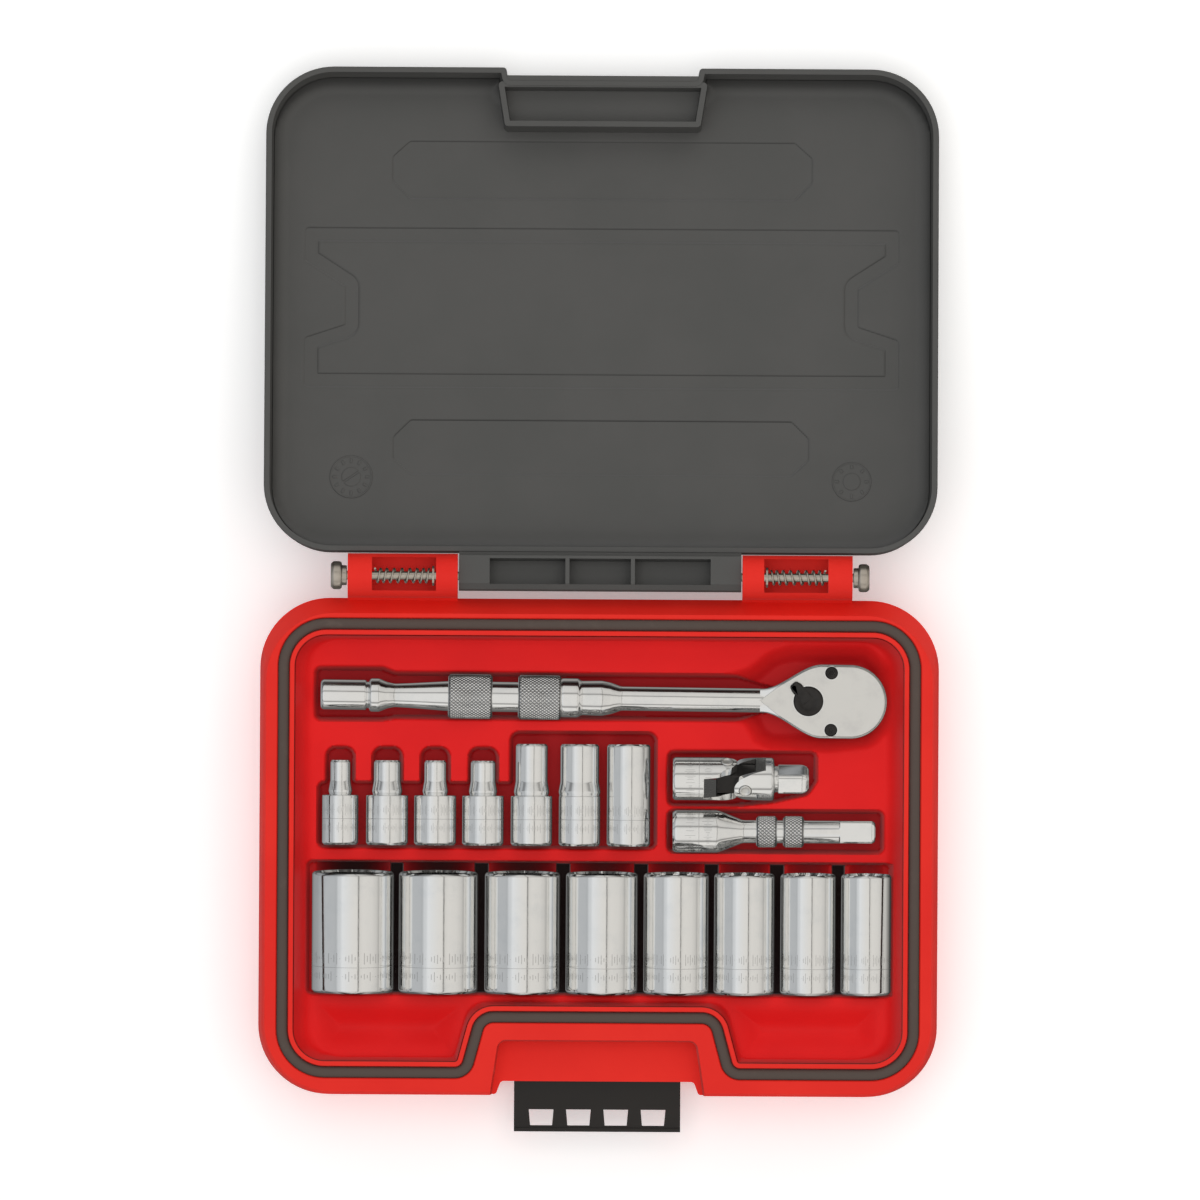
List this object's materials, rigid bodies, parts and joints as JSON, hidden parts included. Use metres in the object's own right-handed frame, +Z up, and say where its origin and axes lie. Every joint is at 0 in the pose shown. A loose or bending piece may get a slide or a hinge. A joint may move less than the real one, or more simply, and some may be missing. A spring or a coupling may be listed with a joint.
{
  "type": "socket wrench set in case",
  "caption": "Open hinged carrying case with a moulded tray holding a ratchet, a universal joint, an extension bar and rows of short and deep sockets.",
  "frame": {"origin": "middle of the base's underside, on the table", "axes": "+X along the hinge to the right as seen from the latch, +Y from the latch towards the hinges and the open lid, +Z up"},
  "size_m": [0.2852, 0.4479, 0.0553],
  "materials": {
    "red_plastic": "moulded, satin",
    "red_tray_plastic": "moulded, satin",
    "grey_plastic": "fine moulded grain",
    "black_plastic": "moulded",
    "seal_rubber": "matt extruded",
    "chrome": "polished",
    "steel": "plain turned",
    "black_oxide": "black oxide"
  },
  "bodies": {
    "case": {"base_shell": "red_plastic", "tray_insert": "red_tray_plastic", "gasket": "seal_rubber", "latch_pin": "steel", "hinge_spring_left": "steel", "hinge_spring_right": "steel"},
    "lid": {"lid_shell": "grey_plastic"},
    "latch": {"latch": "black_plastic"},
    "left_pin": {"hinge_pin_left": "steel", "pin_clip_left": "steel"},
    "right_pin": {"hinge_pin_right": "steel", "pin_clip_right": "steel"},
    "ratchet": {"ratchet_body": "chrome", "cover_plate": "chrome", "cover_screw_1": "black_oxide", "cover_screw_2": "black_oxide"},
    "selector": {"selector_lever": "black_oxide"},
    "drive": {"ratchet_drive": "chrome", "ratchet_ball": "steel"},
    "ujoint_socket": {"ujoint_socket_yoke": "chrome"},
    "ujoint_cross": {"ujoint_block": "black_oxide", "ujoint_pin_socket": "steel", "ujoint_pin_tang": "steel"},
    "ujoint_tang": {"ujoint_tang_yoke": "chrome", "ujoint_ball": "steel"},
    "extension": {"extension_bar": "chrome", "extension_ball": "steel"},
    "short_socket_1": {"short_socket_1": "chrome"},
    "short_socket_2": {"short_socket_2": "chrome"},
    "short_socket_3": {"short_socket_3": "chrome"},
    "short_socket_4": {"short_socket_4": "chrome"},
    "short_socket_5": {"short_socket_5": "chrome"},
    "short_socket_6": {"short_socket_6": "chrome"},
    "short_socket_7": {"short_socket_7": "chrome"},
    "deep_socket_1": {"deep_socket_1": "chrome"},
    "deep_socket_2": {"deep_socket_2": "chrome"},
    "deep_socket_3": {"deep_socket_3": "chrome"},
    "deep_socket_4": {"deep_socket_4": "chrome"},
    "deep_socket_5": {"deep_socket_5": "chrome"},
    "deep_socket_6": {"deep_socket_6": "chrome"},
    "deep_socket_7": {"deep_socket_7": "chrome"},
    "deep_socket_8": {"deep_socket_8": "chrome"}
  },
  "joints": [
    {"name": "lid_hinge", "type": "hinge", "parent": "case", "child": "lid", "pos_m": [0, 0.1138, 0.046], "axis": [-1, 0, 0], "range_deg": [-187.1, 0]},
    {"name": "latch_hinge", "type": "hinge", "parent": "case", "child": "latch", "pos_m": [0, -0.095, 0.025], "axis": [1, 0, 0], "range_deg": [-90, 0]},
    {"name": "left_pin_pull", "type": "slide", "parent": "case", "child": "left_pin", "axis": [-1, 0, 0], "range_m": [0, 0.0115], "stiffness_N_per_m": 600, "springref_m": -0.006, "deforming": ["hinge_spring_left"]},
    {"name": "right_pin_pull", "type": "slide", "parent": "case", "child": "right_pin", "axis": [1, 0, 0], "range_m": [0, 0.0115], "stiffness_N_per_m": 600, "springref_m": -0.006, "deforming": ["hinge_spring_right"]},
    {"name": "ratchet_lift", "type": "slide", "parent": "case", "child": "ratchet", "axis": [0, 0, 1], "range_m": [0, 0.115]},
    {"name": "selector_turn", "type": "hinge", "parent": "ratchet", "child": "selector", "pos_m": [0.0878, 0.06194, 0.0421], "axis": [0, 0, 1], "range_deg": [0, 96]},
    {"name": "drive_turn", "type": "hinge", "parent": "ratchet", "child": "drive", "pos_m": [0.1045, 0.0618, 0.025], "axis": [0, 0, 1], "continuous": true},
    {"name": "ujoint_lift", "type": "slide", "parent": "case", "child": "ujoint_socket", "axis": [0, 0, 1], "range_m": [0, 0.115]},
    {"name": "ujoint_first_bend", "type": "hinge", "parent": "ujoint_socket", "child": "ujoint_cross", "pos_m": [0.0538, 0.0291, 0.034], "axis": [0, 0.8241, 0.5664], "range_deg": [-25, 0]},
    {"name": "ujoint_second_bend", "type": "hinge", "parent": "ujoint_cross", "child": "ujoint_tang", "pos_m": [0.0615, 0.0291, 0.034], "axis": [0, -0.5664, 0.8241], "range_deg": [0, 12]},
    {"name": "extension_lift", "type": "slide", "parent": "case", "child": "extension", "axis": [0, 0, 1], "range_m": [0, 0.115]},
    {"name": "short_socket_1_lift", "type": "slide", "parent": "case", "child": "short_socket_1", "axis": [0, 0, 1], "range_m": [0, 0.115]},
    {"name": "short_socket_2_lift", "type": "slide", "parent": "case", "child": "short_socket_2", "axis": [0, 0, 1], "range_m": [0, 0.115]},
    {"name": "short_socket_3_lift", "type": "slide", "parent": "case", "child": "short_socket_3", "axis": [0, 0, 1], "range_m": [0, 0.115]},
    {"name": "short_socket_4_lift", "type": "slide", "parent": "case", "child": "short_socket_4", "axis": [0, 0, 1], "range_m": [0, 0.115]},
    {"name": "short_socket_5_lift", "type": "slide", "parent": "case", "child": "short_socket_5", "axis": [0, 0, 1], "range_m": [0, 0.115]},
    {"name": "short_socket_6_lift", "type": "slide", "parent": "case", "child": "short_socket_6", "axis": [0, 0, 1], "range_m": [0, 0.115]},
    {"name": "short_socket_7_lift", "type": "slide", "parent": "case", "child": "short_socket_7", "axis": [0, 0, 1], "range_m": [0, 0.115]},
    {"name": "deep_socket_1_lift", "type": "slide", "parent": "case", "child": "deep_socket_1", "axis": [0, 0, 1], "range_m": [0, 0.115]},
    {"name": "deep_socket_2_lift", "type": "slide", "parent": "case", "child": "deep_socket_2", "axis": [0, 0, 1], "range_m": [0, 0.115]},
    {"name": "deep_socket_3_lift", "type": "slide", "parent": "case", "child": "deep_socket_3", "axis": [0, 0, 1], "range_m": [0, 0.115]},
    {"name": "deep_socket_4_lift", "type": "slide", "parent": "case", "child": "deep_socket_4", "axis": [0, 0, 1], "range_m": [0, 0.115]},
    {"name": "deep_socket_5_lift", "type": "slide", "parent": "case", "child": "deep_socket_5", "axis": [0, 0, 1], "range_m": [0, 0.115]},
    {"name": "deep_socket_6_lift", "type": "slide", "parent": "case", "child": "deep_socket_6", "axis": [0, 0, 1], "range_m": [0, 0.115]},
    {"name": "deep_socket_7_lift", "type": "slide", "parent": "case", "child": "deep_socket_7", "axis": [0, 0, 1], "range_m": [0, 0.115]},
    {"name": "deep_socket_8_lift", "type": "slide", "parent": "case", "child": "deep_socket_8", "axis": [0, 0, 1], "range_m": [0, 0.115]}
  ]
}
